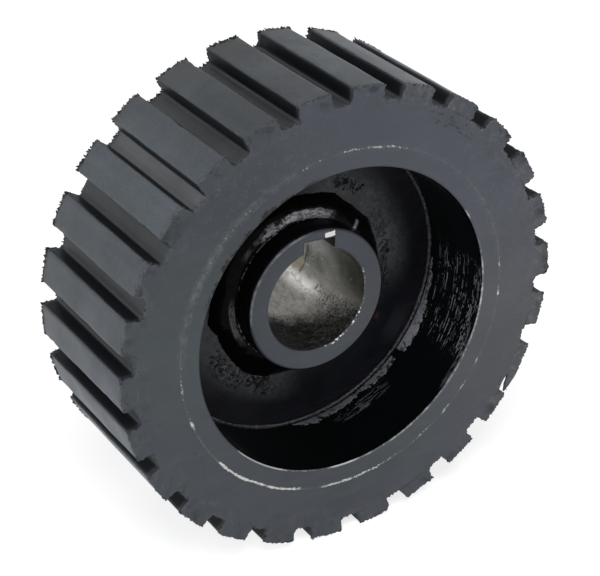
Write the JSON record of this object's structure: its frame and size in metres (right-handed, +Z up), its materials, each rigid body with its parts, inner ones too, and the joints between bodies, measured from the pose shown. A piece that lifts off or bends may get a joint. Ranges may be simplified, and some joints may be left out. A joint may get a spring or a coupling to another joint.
{
  "type": "rubber-lagged conveyor drive drum",
  "caption": "Short welded steel drive drum with a keyed hub and a thick rubber lagging moulded with axial ribs and grooves.",
  "frame": {"origin": "on the bore's axis, midway across the rim's face width", "axes": "+Y along the bore's axis towards the rear, where the hub stands out; -Y is the front with the recessed hub face; +Z up through a groove, next to the keyway"},
  "size_m": [0.196, 0.078, 0.1958],
  "materials": {
    "rim_steel": "matt blue-grey paint on the end faces, gloss black inside",
    "web_steel": "satin black paint",
    "hub_steel": "matt blue-grey paint, bright machined bore",
    "weld_metal": "gloss black paint over a rippled bead",
    "bond": "pale dry cement",
    "lagging_rubber": "matt black rubber, worn and dusty on the ribs"
  },
  "bodies": {
    "root": {"rim_tube": "rim_steel", "web_disc": "web_steel", "hub": "hub_steel", "front_hub_weld": "weld_metal", "rear_hub_weld": "weld_metal", "rear_rim_weld": "weld_metal", "bonding_layer": "bond", "lagging": "lagging_rubber"}
  },
  "joints": []
}
